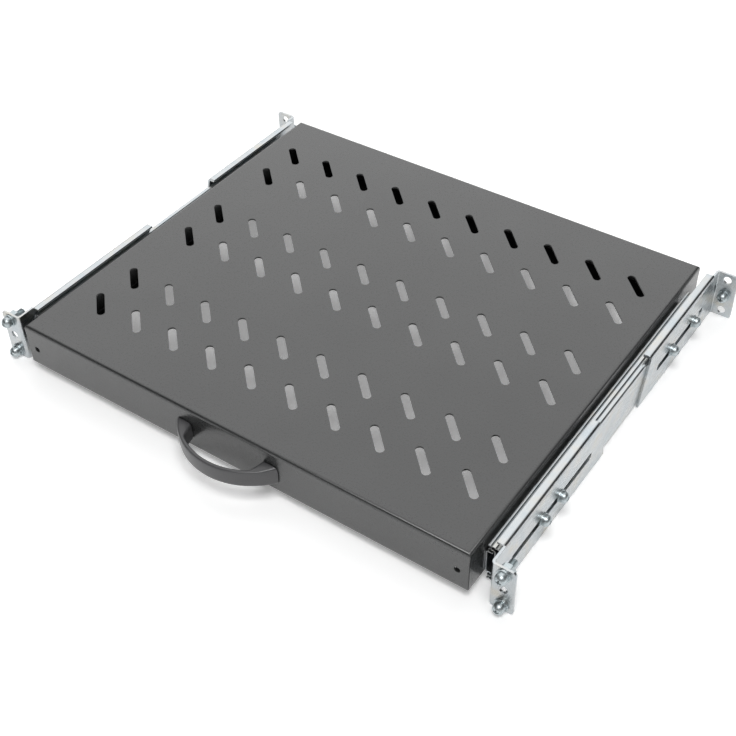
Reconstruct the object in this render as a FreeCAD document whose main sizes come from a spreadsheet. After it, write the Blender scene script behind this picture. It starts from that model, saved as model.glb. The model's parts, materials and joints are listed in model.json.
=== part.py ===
import FreeCAD, Part
import math
import operator
import os
from types import SimpleNamespace

import Sketcher

# Sliding rack shelf, one unit high, for a 19 inch rack.
# A folded steel tray with slanting vent slots runs out on two ball-bearing telescopic slides.
# Each slide is clamped to a front and a rear bracket through long slots, so the depth can be set.
# Frame: millimetres, X to the right, Y to the back, Z up.
# The origin is midway between the middle holes of the front ears, on the ears' mounting plane.

doc = FreeCAD.newDocument("sliding_rack_shelf")
sheet = doc.addObject("Spreadsheet::Sheet", "Sizes")

# Driving dimensions in millimetres, degrees and plain counts
SIZES = {
    # Folded tray
    "tray_width": "418.6",
    "tray_depth": "368",
    "tray_height": "40",
    "tray_sheet": "1.5",
    "tray_bend": "3.2",
    "tray_rise": "24.75",
    "tray_lead": "7",
    "side_return": "18",
    "front_return": "12",
    "back_return": "30",
    # Vent slots, in pairs of rows across the tray
    "vent_length": "28.4",
    "vent_width": "6.8",
    "vent_angle": "135",
    "vent_columns": "10",
    "vent_side_margin": "32.9",
    "vent_pairs": "3",
    "vent_row_gap": "40",
    "vent_end_margin": "54",
    # Small holes near the ends of the front flange
    "front_hole_diameter": "5.2",
    "front_hole_inset": "9.5",
    "front_hole_drop": "21.5",
    # Bow handle
    "handle_span": "97",
    "handle_reach": "25",
    "handle_grip": "6",
    "handle_height": "15",
    "handle_drop": "21.5",
    "handle_bevel": "2",
    "lug_width": "13",
    "lug_height": "20",
    "lug_thickness": "4",
    "lug_inset": "6",
    "lug_cut": "3",
    "handle_screw_inset": "9",
    "handle_screw_depth": "6",
    # Telescopic slides
    "slide_length": "320",
    "slide_setback": "14",
    "slide_height": "36",
    "slide_thickness": "12.7",
    "slide_drop": "2",
    "slide_corner": "2",
    "outer_sheet": "1.2",
    "middle_sheet": "1",
    "inner_sheet": "1.2",
    "outer_lip": "11.1",
    "bead_depth": "0.6",
    "bead_width": "1.6",
    "outer_bead_setback": "3.9",
    "inner_bead_setback": "7.9",
    "middle_setback": "5.2",
    "middle_lip": "5.7",
    "inner_lip": "5.2",
    "race_gap": "2.2",
    "race_clearance": "0.1",
    "ball_diameter": "3",
    "outer_race_setback": "7",
    "inner_race_setback": "9.2",
    "bumper_setback": "2",
    "bumper_length": "6",
    "bumper_depth": "7",
    "bumper_height": "18",
    "bumper_gap": "0.3",
    # Ball cages
    "cage_sheet": "0.6",
    "cage_length": "160",
    "cage_setback": "90",
    "cage_clearance": "0.4",
    "outer_cage_setback": "3.4",
    "ball_count": "3",
    "ball_margin": "10",
    # Slide brackets
    "bracket_sheet": "2",
    "bracket_bend": "3",
    "flange_width": "7.3",
    "end_slant": "13",
    "front_reach": "153",
    "front_flange_setback": "15",
    "front_slot_setback": "24",
    "front_slot_margin": "11",
    "rear_reach": "128",
    "rear_flange_setback": "8",
    "rear_slot_setback": "25",
    "rear_slot_margin": "16",
    "rear_gap": "32",
    "adjust_clearance": "0.6",
    # Mounting ears
    "ear_width": "19.3",
    "ear_height": "44",
    "ear_corner": "3",
    "ear_hole_inset": "8.75",
    "ear_hole_pitch": "15.875",
    "ear_hole_clearance": "0.5",
    # Fasteners
    "clamp_front_first": "54",
    "clamp_front_gap": "26",
    "clamp_rear_last": "43",
    "clamp_rear_gap": "42",
    "clamp_shank": "5",
    "clamp_washer": "10.5",
    "clamp_washer_height": "2.2",
    "clamp_head": "9",
    "clamp_head_height": "4.3",
    "clamp_tip": "1.8",
    "mount_shank": "6",
    "mount_length": "14",
    "mount_head": "12",
    "mount_head_height": "8.2",
    "mount_nut_width": "10",
    "mount_nut_height": "5",
    "slide_screw_first": "40",
    "slide_screw_last": "41.7",
    "small_shank": "4",
    "small_head": "7.5",
    "small_head_height": "2",
    "small_tip": "4",
    "thread_clearance": "0.05",
}


class Size:
    """A length with the sheet expression that drives it and its present value."""

    def __init__(self, text, value):
        self.text = text
        self.value = value

    def __add__(self, other):
        return joined(self, "+", other)

    def __radd__(self, other):
        return joined(other, "+", self)

    def __sub__(self, other):
        return joined(self, "-", other)

    def __rsub__(self, other):
        return joined(other, "-", self)

    def __mul__(self, other):
        return joined(self, "*", other)

    def __rmul__(self, other):
        return joined(other, "*", self)

    def __truediv__(self, other):
        return joined(self, "/", other)

    def __neg__(self):
        return joined(0, "-", self)


ARITHMETIC = {"+": operator.add, "-": operator.sub, "*": operator.mul, "/": operator.truediv}


def as_size(value):
    """A plain number as a fixed size; a size as it is."""
    return value if isinstance(value, Size) else Size(f"({value})", float(value))


def joined(left, sign, right):
    left, right = as_size(left), as_size(right)
    return Size(f"({left.text} {sign} {right.text})", ARITHMETIC[sign](left.value, right.value))


def cosine(angle):
    return Size(f"cos({angle.text} * 1 deg)", math.cos(math.radians(angle.value)))


def sine(angle):
    return Size(f"sin({angle.text} * 1 deg)", math.sin(math.radians(angle.value)))


def arc_cosine(ratio):
    """An angle in degrees."""
    return Size(f"acos({ratio.text})", math.degrees(math.acos(ratio.value)))


def fill_sheet():
    """Write the driving dimensions to the sheet and return them by name."""
    for row, (alias, text) in enumerate(SIZES.items(), start=1):
        sheet.set(f"A{row}", alias)
        sheet.set(f"B{row}", text)
        sheet.setAlias(f"B{row}", alias)
    doc.recompute()
    return SimpleNamespace(**{alias: Size(f"Sizes.{alias}", float(text)) for alias, text in SIZES.items()})


s = fill_sheet()

# Places that several pieces share
SLIDE_FACE = s.tray_width / 2 + s.slide_thickness
TRAY_FRONT = -s.tray_lead
TRAY_BOTTOM = s.tray_rise - s.tray_height
HANDLE_SCREW_X = s.handle_span / 2 - s.handle_screw_inset
SLIDE_BACK = s.slide_setback + s.slide_length
BUMPER_FRONT = SLIDE_BACK - s.bumper_setback - s.bumper_length
MOVING_LENGTH = BUMPER_FRONT - s.bumper_gap - s.slide_setback
OUTER_RACE = s.slide_height / 2 - s.outer_sheet - s.race_gap / 2
MIDDLE_TOP = OUTER_RACE - s.race_gap / 2
INNER_RACE = MIDDLE_TOP - s.middle_sheet - s.race_gap / 2
INNER_TOP = INNER_RACE - s.race_gap / 2
RACE_RADIUS = s.ball_diameter / 2 + s.race_clearance
CAGE_FRONT = s.slide_setback + s.cage_setback
REAR_PLANE = SLIDE_BACK + s.rear_gap
CLAMP_PLACES = (
    s.slide_setback + s.clamp_front_first,
    s.slide_setback + s.clamp_front_first + s.clamp_front_gap,
    REAR_PLANE - s.clamp_rear_last - s.clamp_rear_gap,
    REAR_PLANE - s.clamp_rear_last,
)
SLIDE_SCREW_PLACES = (
    s.slide_setback + s.slide_screw_first,
    s.slide_setback + MOVING_LENGTH - s.slide_screw_last,
)
EAR_EDGE = SLIDE_FACE + s.ear_width
EAR_HOLE_X = EAR_EDGE - s.ear_hole_inset
EAR_HOLE = s.mount_shank + 2 * s.ear_hole_clearance
EAR_MIDDLE = (as_size(0),)
EAR_ENDS = (-s.ear_hole_pitch, s.ear_hole_pitch)

# Points closer than this count as one, in millimetres
SAME_PLACE = 1e-6

# Sides of the shapes that are drawn with few faces
SHANK_SIDES = 6
HEAD_SIDES = 24
EAR_BORE_SIDES = 8
BALL_SIDES = 8
VENT_END_SIDES = 4

nodes = {}


def inboard(depth):
    """X of a place that lies this deep behind the right slide's outer face."""
    return SLIDE_FACE - depth


def vector(point):
    return FreeCAD.Vector(*(as_size(part).value for part in point))


def bind(thing, path, size):
    """Drive one property of a document object from the sheet."""
    thing.setExpression(path, as_size(size).text)


def new_body(label):
    body = doc.addObject("PartDesign::Body", label)
    nodes[label] = body
    return body


def sketch_on(body, role, level):
    """A sketch parallel to one of the body's own planes, at this coordinate along the plane's axis."""
    plane = next(item for item in body.Origin.OriginFeatures if item.Role == role)
    sketch = body.newObject("Sketcher::SketchObject", f"{body.Name}_sketch")
    sketch.AttachmentSupport = (plane, [""])
    sketch.MapMode = "FlatFace"
    bind(sketch, "AttachmentOffset.Base.z", normal_sense(role) * as_size(level))
    return sketch


def normal_sense(role):
    """The XZ plane looks to the front, and the other two look along their axes."""
    return -1 if role == "XZ_Plane" else 1


def sense_flag(sketch, sense):
    """Whether a feature has to be turned round to run this way along the global axis."""
    return sense * normal_sense(sketch.AttachmentSupport[0][0].Role) < 0


def pin(sketch, curve, end, x, y):
    """Hold one point of a curve by two driven distances from the sketch's origin."""
    for kind, distance in (("DistanceX", as_size(x)), ("DistanceY", as_size(y))):
        index = sketch.addConstraint(Sketcher.Constraint(kind, -1, 1, curve, end, distance.value))
        bind(sketch, f"Constraints[{index}]", distance)


def hold_radius(sketch, curve, radius):
    index = sketch.addConstraint(Sketcher.Constraint("Radius", curve, as_size(radius).value))
    bind(sketch, f"Constraints[{index}]", radius)


def line(sketch, start, end):
    return sketch.addGeometry(Part.LineSegment(vector((*start, 0)), vector((*end, 0))), False)


def arc(sketch, start, through, end):
    """An arc, with the numbers of its ends in the order of start and end."""
    curve = sketch.addGeometry(Part.Arc(vector((*start, 0)), vector((*through, 0)), vector((*end, 0))), False)
    begins_there = sketch.getPoint(curve, 1).distanceToPoint(vector((*start, 0))) < SAME_PLACE
    return (curve, 1, 2) if begins_there else (curve, 2, 1)


def join(sketch, first, first_end, second, second_end):
    sketch.addConstraint(Sketcher.Constraint("Coincident", first, first_end, second, second_end))


def beside(corner, other, distance):
    """The point this far from a corner towards its neighbour, along the level or upright edge."""
    across = other[0].value - corner[0].value
    along = other[1].value - corner[1].value
    if abs(across) > abs(along):
        return (corner[0] + math.copysign(1, across) * distance, corner[1])
    return (corner[0], corner[1] + math.copysign(1, along) * distance)


def outline(sketch, corners):
    """Draw a closed outline of corners (x, y), or (x, y, radius) where level and upright edges meet."""
    corners = [tuple(as_size(part) for part in corner) for corner in corners]
    count = len(corners)
    arrive, leave = [], []
    for index, corner in enumerate(corners):
        rounded = len(corner) == 3
        before, after = corners[index - 1], corners[(index + 1) % count]
        arrive.append(beside(corner, before, corner[2]) if rounded else corner[:2])
        leave.append(beside(corner, after, corner[2]) if rounded else corner[:2])
    edges = [line(sketch, leave[index], arrive[(index + 1) % count]) for index in range(count)]
    for index, corner in enumerate(corners):
        pin(sketch, edges[index], 1, *leave[index])
        if len(corner) == 2:
            join(sketch, edges[index - 1], 2, edges[index], 1)
            continue
        pin(sketch, edges[index - 1], 2, *arrive[index])
        x, y, radius = corner
        shift = math.sqrt(0.5) - 1
        toward = [arrive[index][axis] + leave[index][axis] - 2 * corner[axis] for axis in (0, 1)]
        through = [corner[axis] - shift * toward[axis] for axis in (0, 1)]
        curve, start, end = arc(sketch, arrive[index], through, leave[index])
        join(sketch, edges[index - 1], 2, curve, start)
        join(sketch, curve, end, edges[index], 1)
        hold_radius(sketch, curve, radius)


def rectangle(sketch, left, right, bottom, top):
    outline(sketch, [(left, bottom), (right, bottom), (right, top), (left, top)])


def bevelled_rectangle(sketch, left, right, bottom, top, bevel):
    """A rectangle whose four corners are cut off at 45 degrees."""
    outline(
        sketch,
        [
            (left + bevel, bottom),
            (right - bevel, bottom),
            (right, bottom + bevel),
            (right, top - bevel),
            (right - bevel, top),
            (left + bevel, top),
            (left, top - bevel),
            (left, bottom + bevel),
        ],
    )


def circle(sketch, x, y, diameter):
    radius = as_size(diameter) / 2
    curve = sketch.addGeometry(Part.Circle(vector((x, y, 0)), FreeCAD.Vector(0, 0, 1), radius.value), False)
    pin(sketch, curve, 3, x, y)
    hold_radius(sketch, curve, radius)


def polygon_hole(sketch, x, y, diameter, sides, first_angle):
    """A hole that a screw fills, drawn with few sides."""
    corners = []
    for index in range(sides):
        angle = math.radians(first_angle + 360 / sides * index)
        corners.append((x + diameter / 2 * math.cos(angle), y + diameter / 2 * math.sin(angle)))
    outline(sketch, corners)


def vent_slot(sketch, x, y, length, width, angle):
    """A slanting slot whose round ends are drawn with few sides."""
    reach, radius = (length - width) / 2, width / 2
    corners = []
    for turn in (0, 180):
        middle = (x + reach * cosine(angle + turn), y + reach * sine(angle + turn))
        for index in range(VENT_END_SIDES + 1):
            way = angle + (turn - 90 + 180 / VENT_END_SIDES * index)
            corners.append((middle[0] + radius * cosine(way), middle[1] + radius * sine(way)))
    outline(sketch, corners)


def level_slot(sketch, x, y, length, width):
    """A level slot with half-round ends."""
    reach, radius = (length - width) / 2, width / 2
    edges = []
    for sense in (1, -1):
        start, end = (x + sense * reach, y + sense * radius), (x - sense * reach, y + sense * radius)
        edge = line(sketch, start, end)
        pin(sketch, edge, 1, *start)
        pin(sketch, edge, 2, *end)
        edges.append(edge)
    for sense, before, after in ((-1, *edges), (1, *reversed(edges))):
        middle = x + sense * reach
        above, below = (middle, y - sense * radius), (middle, y + sense * radius)
        curve, start, end = arc(sketch, above, (middle + sense * radius, y), below)
        join(sketch, before, 2, curve, start)
        join(sketch, curve, end, after, 1)
        hold = sketch.addConstraint(Sketcher.Constraint("DistanceX", -1, 1, curve, 3, middle.value))
        bind(sketch, f"Constraints[{hold}]", middle)


def pad(body, sketch, length, sense):
    """Grow a sketch along the global axis, forwards or backwards."""
    feature = body.newObject("PartDesign::Pad", f"{body.Name}_pad")
    feature.Profile = sketch
    bind(feature, "Length", length)
    feature.Reversed = sense_flag(sketch, sense)
    return feature


def cut(body, sketch, depth, sense):
    """Cut a sketch out along the global axis, forwards or backwards."""
    feature = body.newObject("PartDesign::Pocket", f"{body.Name}_pocket")
    feature.Profile = sketch
    bind(feature, "Length", depth)
    feature.Reversed = not sense_flag(sketch, sense)
    return feature


def edge_names(base, wanted):
    """Names of the edges of a feature that pass a test."""
    doc.recompute()
    return [f"Edge{number}" for number, edge in enumerate(base.Shape.Edges, start=1) if wanted(edge)]


def is_level(edge):
    return edge.BoundBox.ZLength < SAME_PLACE


def round_edges(body, base, radius, wanted):
    feature = body.newObject("PartDesign::Fillet", f"{body.Name}_fillet")
    feature.Base = (base, edge_names(base, wanted))
    bind(feature, "Radius", radius)


AXES = {"x": FreeCAD.Vector(1, 0, 0), "y": FreeCAD.Vector(0, 1, 0), "z": FreeCAD.Vector(0, 0, 1)}


def place(thing, base, axis):
    """Stand a primitive at a driven point with its own height along one axis."""
    turn = FreeCAD.Rotation(AXES["z"], AXES[axis])
    thing.Placement = FreeCAD.Placement(vector(base), turn)
    for name, distance in zip("xyz", base):
        bind(thing, f"Placement.Base.{name}", distance)


def prism(name, sides, diameter, height, base, axis):
    """A bar with few sides, its corners on a circle of this diameter."""
    thing = doc.addObject("Part::Prism", name)
    thing.Polygon = sides
    bind(thing, "Circumradius", as_size(diameter) / 2)
    bind(thing, "Height", height)
    place(thing, base, axis)
    return thing


def fused(name, pieces):
    thing = doc.addObject("Part::MultiFuse", name)
    thing.Shapes = pieces
    return thing


def bored(name, piece, tool):
    thing = doc.addObject("Part::Cut", name)
    thing.Base = piece
    thing.Tool = tool
    return thing


def group(label, pieces):
    """Several like pieces in one node, each a solid of its own."""
    thing = doc.addObject("Part::Compound", label)
    thing.Links = pieces
    nodes[label] = thing
    return thing


def shelf_tray():
    """Top plate, four flanges and the returns along their lower edges, folded from one sheet."""
    body = new_body("shelf_tray")
    half, back, wall = s.tray_width / 2, TRAY_FRONT + s.tray_depth, s.tray_sheet
    sketch = sketch_on(body, "XY_Plane", TRAY_BOTTOM)
    rectangle(sketch, -half, half, TRAY_FRONT, back)
    block = pad(body, sketch, s.tray_height, 1)
    round_edges(body, block, s.tray_bend, is_level)
    sketch = sketch_on(body, "XY_Plane", TRAY_BOTTOM + wall)
    rectangle(sketch, wall - half, half - wall, TRAY_FRONT + wall, back - wall)
    cut(body, sketch, s.tray_height - 2 * wall, 1)
    sketch = sketch_on(body, "XY_Plane", TRAY_BOTTOM)
    open_half = half - s.side_return
    rectangle(sketch, -open_half, open_half, TRAY_FRONT + s.front_return, back - s.back_return)
    cut(body, sketch, wall, 1)
    tray_vents(body)
    tray_screw_holes(body)


def tray_vents(body):
    """One pair of slots, repeated across the tray and from front to back."""
    sketch = sketch_on(body, "XY_Plane", s.tray_rise)
    first = s.vent_side_margin - s.tray_width / 2
    for row in (0, 1):
        middle = TRAY_FRONT + s.vent_end_margin + row * s.vent_row_gap
        vent_slot(sketch, first, middle, s.vent_length, s.vent_width, s.vent_angle)
    slots = cut(body, sketch, s.tray_sheet, -1)
    grid = body.newObject("PartDesign::MultiTransform", "vent_grid")
    grid.Originals = [slots]
    steps = []
    for role, count, span in (
        ("X_Axis", s.vent_columns, s.tray_width - 2 * s.vent_side_margin),
        ("Y_Axis", s.vent_pairs, s.tray_depth - 2 * s.vent_end_margin - s.vent_row_gap),
    ):
        pattern = body.newObject("PartDesign::LinearPattern", f"vents_along_{role[0]}")
        axis = next(item for item in body.Origin.OriginFeatures if item.Role == role)
        pattern.Direction = (axis, [""])
        bind(pattern, "Occurrences", count)
        bind(pattern, "Length", span)
        steps.append(pattern)
    grid.Transformations = steps
    body.Tip = grid


def tray_screw_holes(body):
    """Holes of the front flange, and of the side flanges where the slides are screwed on."""
    sketch = sketch_on(body, "XZ_Plane", TRAY_FRONT)
    for side in (-1, 1):
        hole_x = side * (s.tray_width / 2 - s.front_hole_inset)
        circle(sketch, hole_x, s.tray_rise - s.front_hole_drop, s.front_hole_diameter)
        handle_screw_hole(sketch, side)
    cut(body, sketch, s.tray_sheet, 1)
    for side in (-1, 1):
        sketch = sketch_on(body, "YZ_Plane", side * s.tray_width / 2)
        for along in SLIDE_SCREW_PLACES:
            slide_screw_hole(sketch, along, s.small_shank)
        cut(body, sketch, s.tray_sheet, -side)


def handle_screw_hole(sketch, side):
    x, z = side * HANDLE_SCREW_X, s.tray_rise - s.handle_drop
    polygon_hole(sketch, x, z, s.small_shank + 2 * s.thread_clearance, SHANK_SIDES, 0)


def slide_screw_hole(sketch, along, shank):
    polygon_hole(sketch, along, -s.slide_drop, shank + 2 * s.thread_clearance, SHANK_SIDES, 90)


def front_handle():
    """Moulded bow, a bar with bevelled edges turned about an upright axis, on two upright lugs."""
    body = new_body("front_handle")
    middle = s.tray_rise - s.handle_drop
    half = s.handle_span / 2
    radius = (half * half + s.handle_reach * s.handle_reach) / (2 * s.handle_reach)
    sketch = sketch_on(body, "YZ_Plane", 0)
    bind(sketch, "AttachmentOffset.Base.x", TRAY_FRONT - s.handle_reach + radius)
    tall = s.handle_height / 2
    bevelled_rectangle(
        sketch, -radius, s.handle_grip - radius, middle - tall, middle + tall, s.handle_bevel
    )
    bow = body.newObject("PartDesign::Revolution", "handle_bow")
    bow.Profile = sketch
    bow.ReferenceAxis = (sketch, ["V_Axis"])
    bow.Midplane = True
    bind(bow, "Angle", 2 * arc_cosine((radius - s.handle_reach) / radius))
    sketch = sketch_on(body, "XZ_Plane", TRAY_FRONT)
    rectangle(sketch, -s.handle_span, s.handle_span, middle - s.lug_height, middle + s.lug_height)
    cut(body, sketch, s.handle_reach, 1)
    for side in (-1, 1):
        sketch = sketch_on(body, "XZ_Plane", TRAY_FRONT)
        place_x = side * (s.handle_span / 2 - s.lug_inset)
        wide, tall = s.lug_width / 2, s.lug_height / 2
        bevelled_rectangle(
            sketch, place_x - wide, place_x + wide, middle - tall, middle + tall, s.lug_cut
        )
        pad(body, sketch, s.lug_thickness, -1)
    sketch = sketch_on(body, "XZ_Plane", TRAY_FRONT)
    for side in (-1, 1):
        handle_screw_hole(sketch, side)
    cut(body, sketch, s.handle_screw_depth, -1)


def handle_screws():
    screws = []
    for side in (-1, 1):
        x, z = side * HANDLE_SCREW_X, s.tray_rise - s.handle_drop
        face = TRAY_FRONT + s.tray_sheet
        head = prism("handle_screw_head", SHANK_SIDES, s.small_head, s.small_head_height, (x, face, z), "y")
        depth = s.tray_sheet + s.handle_screw_depth - s.thread_clearance
        shank = prism("handle_screw_shank", SHANK_SIDES, s.small_shank, depth, (x, face - depth, z), "y")
        screws.append(fused("handle_screw", [head, shank]))
    group("handle_screws", screws)


def channel(body, face, web, lip, top, start, length, sense, rounding):
    """A C channel along Y: its web stands at a face, its lips reach inboard (1) or outboard (-1)."""
    sketch = sketch_on(body, "XZ_Plane", start)
    sheet_edge, lip_edge = inboard(face + sense * web), inboard(face + sense * lip)
    back, middle = inboard(face), -s.slide_drop
    outline(
        sketch,
        [
            (back, middle - top, *rounding),
            (lip_edge, middle - top),
            (lip_edge, middle - top + web),
            (sheet_edge, middle - top + web),
            (sheet_edge, middle + top - web),
            (lip_edge, middle + top - web),
            (lip_edge, middle + top),
            (back, middle + top, *rounding),
        ],
    )
    return pad(body, sketch, length, 1)


def cut_races(body, races, start, length):
    """Round-bottomed grooves for the balls, above and below the slide's middle line."""
    sketch = sketch_on(body, "XZ_Plane", start)
    for setback, height in races:
        for side in (-1, 1):
            circle(sketch, inboard(setback), side * height - s.slide_drop, 2 * RACE_RADIUS)
    cut(body, sketch, length, 1)


def screw_holes(body, face, depth, places, shank):
    """Screw holes through a slide's web."""
    sketch = sketch_on(body, "YZ_Plane", inboard(face))
    for along in places:
        slide_screw_hole(sketch, along, shank)
    cut(body, sketch, depth, -1)


def outer_slide():
    """Fixed member: web outboard, lips over the outer balls, with two rolled lines along each lip."""
    body = new_body("outer_slide_right")
    top = s.slide_height / 2
    ends, corner = (s.slide_setback, s.slide_length), (s.slide_corner,)
    channel(body, as_size(0), s.outer_sheet, s.outer_lip, top, *ends, 1, corner)
    cut_races(body, [(s.outer_race_setback, OUTER_RACE)], *ends)
    sketch = sketch_on(body, "XZ_Plane", s.slide_setback)
    for setback in (s.outer_bead_setback, s.inner_bead_setback):
        left, right = inboard(setback + s.bead_width), inboard(setback)
        for sense in (-1, 1):
            face = sense * top - s.slide_drop
            outline(sketch, [(left, face), (right, face), ((left + right) / 2, face - sense * s.bead_depth)])
    cut(body, sketch, s.slide_length, 1)
    screw_holes(body, as_size(0), s.outer_sheet, CLAMP_PLACES, s.clamp_shank)


def middle_slide():
    """Telescoping member, with a race on the outside and the inside of each lip."""
    body = new_body("middle_slide_right")
    ends, corner = (s.slide_setback, MOVING_LENGTH), (s.slide_corner,)
    channel(body, s.middle_setback, s.middle_sheet, s.middle_lip, MIDDLE_TOP, *ends, 1, corner)
    cut_races(body, [(s.outer_race_setback, OUTER_RACE), (s.inner_race_setback, INNER_RACE)], *ends)


def inner_slide():
    """Member on the tray's side flange, with its lips turned outboard."""
    body = new_body("inner_slide_right")
    ends, corner = (s.slide_setback, MOVING_LENGTH), (s.slide_corner,)
    channel(body, s.slide_thickness, s.inner_sheet, s.inner_lip, INNER_TOP, *ends, -1, corner)
    cut_races(body, [(s.inner_race_setback, INNER_RACE)], *ends)
    web_face = s.slide_thickness - s.inner_sheet
    screw_holes(body, web_face, s.inner_sheet, SLIDE_SCREW_PLACES, s.small_shank)


def inner_slide_screws():
    screws = []
    seat = inboard(s.slide_thickness - s.inner_sheet)
    depth = s.inner_sheet + s.tray_sheet + s.small_tip
    for along in SLIDE_SCREW_PLACES:
        base, tip = (seat, along, -s.slide_drop), (seat - depth, along, -s.slide_drop)
        head = prism("slide_screw_head", SHANK_SIDES, s.small_head, s.small_head_height, base, "x")
        shank = prism("slide_screw_shank", SHANK_SIDES, s.small_shank, depth, tip, "x")
        screws.append(fused("slide_screw", [head, shank]))
    group("inner_slide_screws_right", screws)


def slide_bumper():
    """Buffer at the back of the outer member, where the moving members stop."""
    body = new_body("slide_bumper_right")
    sketch = sketch_on(body, "XZ_Plane", BUMPER_FRONT)
    near, far = inboard(s.outer_sheet + s.bumper_depth), inboard(s.outer_sheet)
    bottom, top = -s.slide_drop - s.bumper_height / 2, -s.slide_drop + s.bumper_height / 2
    rectangle(sketch, near, far, bottom, top)
    pad(body, sketch, s.bumper_length, 1)


def ball_places():
    """Y of the balls of one row, spread evenly along a cage."""
    span = s.cage_length - 2 * s.ball_margin
    count = int(s.ball_count.value)
    return [CAGE_FRONT + s.ball_margin + span * index / (s.ball_count - 1) for index in range(count)]


def ball_cage(label, web_face, lip, race, race_setback):
    """Thin U of sheet that runs between two members, with a window for each ball."""
    body = new_body(label)
    channel(body, web_face, s.cage_sheet, lip, race + s.cage_sheet / 2, CAGE_FRONT, s.cage_length, 1, ())
    sketch = sketch_on(body, "XY_Plane", race + s.cage_sheet - s.slide_drop)
    window = s.ball_diameter / 2 + s.cage_clearance / 2
    middle = inboard(race_setback)
    for along in ball_places():
        rectangle(sketch, middle - window, middle + window, along - window, along + window)
    cut(body, sketch, 2 * race + 2 * s.cage_sheet, -1)


def ball(x, y, z):
    """A ball with few faces: what three crossed eight-sided bars have in common."""
    reach = s.ball_diameter / math.sqrt(6)
    width = 2 * reach / math.cos(math.pi / BALL_SIDES)
    turn = FreeCAD.Rotation(AXES["z"], 180 / BALL_SIDES)
    bars = []
    for axis, step in (("x", (1, 0, 0)), ("y", (0, 1, 0)), ("z", (0, 0, 1))):
        base = [centre - reach * part for centre, part in zip((x, y, z), step)]
        bar = prism("ball_bar", BALL_SIDES, width, 2 * reach, base, axis)
        bar.Placement.Rotation = bar.Placement.Rotation.multiply(turn)
        bars.append(bar)
    thing = doc.addObject("Part::MultiCommon", "ball")
    thing.Shapes = bars
    return thing


def ball_rows(label, race, race_setback):
    heights = (-s.slide_drop - race, -s.slide_drop + race)
    group(label, [ball(inboard(race_setback), along, z) for z in heights for along in ball_places()])


def ball_bearings():
    """Two cages a slide: one runs in the outer races and one in the inner races."""
    outer_web, outer_lip = s.outer_cage_setback, s.outer_lip - s.outer_cage_setback
    ball_cage("outer_ball_cage_right", outer_web, outer_lip, OUTER_RACE, s.outer_race_setback)
    ball_rows("outer_balls_right", OUTER_RACE, s.outer_race_setback)
    inner_web = s.middle_setback + s.middle_sheet + s.cage_clearance
    inner_lip = s.slide_thickness - s.inner_sheet - s.cage_clearance - inner_web
    ball_cage("inner_ball_cage_right", inner_web, inner_lip, INNER_RACE, s.inner_race_setback)
    ball_rows("inner_balls_right", INNER_RACE, s.inner_race_setback)


def clamp_screws():
    """Screws that hold the brackets on the outer slide, each head on its flat and spring washers."""
    screws = []
    seat = SLIDE_FACE + s.bracket_sheet
    depth = s.bracket_sheet + s.outer_sheet + s.clamp_tip
    for along in CLAMP_PLACES:
        base, tip = (seat, along, -s.slide_drop), (seat - depth, along, -s.slide_drop)
        head_base = (seat + s.clamp_washer_height, along, -s.slide_drop)
        washer = prism("clamp_washer", HEAD_SIDES, s.clamp_washer, s.clamp_washer_height, base, "x")
        head = prism("clamp_head", HEAD_SIDES, s.clamp_head, s.clamp_head_height, head_base, "x")
        shank = prism("clamp_shank", SHANK_SIDES, s.clamp_shank, depth, tip, "x")
        screws.append(fused("clamp_screw", [washer, head, shank]))
    group("clamp_screws_right", screws)


def bracket(end, ear_plane, sense, lengths, free_holes, screwed_holes):
    """Angle that carries one end of a slide, with an ear turned outward at the rack's post.

    Lengths run from the ear's mounting plane along the slide: sense is 1 for the front bracket.
    """
    body = new_body(f"{end}_bracket_right")
    reach, flange_setback, slot_setback, slot_margin = lengths
    wall, top = s.bracket_sheet, s.ear_height / 2
    face, outside = SLIDE_FACE, SLIDE_FACE + s.bracket_sheet
    longest = reach + s.end_slant

    def along(distance):
        return ear_plane + sense * distance

    sketch = sketch_on(body, "XZ_Plane", along(flange_setback))
    flange_edge = outside - s.flange_width
    outline(
        sketch,
        [
            (outside, -top),
            (outside, top, s.bracket_bend),
            (flange_edge, top),
            (flange_edge, top - wall),
            (face, top - wall, s.bracket_bend - wall),
            (face, -top),
        ],
    )
    pad(body, sketch, longest - flange_setback, sense)
    sketch = sketch_on(body, "XY_Plane", -top)
    outline(
        sketch,
        [
            (EAR_EDGE, along(-wall)),
            (face, along(-wall), s.bracket_bend),
            (face, along(flange_setback)),
            (outside, along(flange_setback)),
            (outside, along(0), s.bracket_bend - wall),
            (EAR_EDGE, along(0)),
        ],
    )
    pad(body, sketch, s.ear_height, 1)
    sketch = sketch_on(body, "YZ_Plane", outside)
    outline(sketch, [(along(reach), top), (along(longest), top), (along(longest), -top)])
    cut(body, sketch, s.flange_width, -1)
    sketch = sketch_on(body, "YZ_Plane", outside)
    slot_length = reach - slot_setback - slot_margin
    middle = along(slot_setback + slot_length / 2)
    level_slot(sketch, middle, -s.slide_drop, slot_length, s.clamp_shank + 2 * s.adjust_clearance)
    cut(body, sketch, wall, -1)
    sketch = sketch_on(body, "XZ_Plane", along(-wall))
    for height in free_holes:
        circle(sketch, EAR_HOLE_X, height, EAR_HOLE)
    for height in screwed_holes:
        polygon_hole(sketch, EAR_HOLE_X, height, EAR_HOLE, EAR_BORE_SIDES, 0)
    drilled = cut(body, sketch, wall, sense)
    round_edges(body, drilled, s.ear_corner, is_ear_corner)


def is_ear_corner(edge):
    """Short level edges at the outer end of an ear."""
    return edge.BoundBox.XMin > EAR_EDGE.value - SAME_PLACE and is_level(edge)


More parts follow.
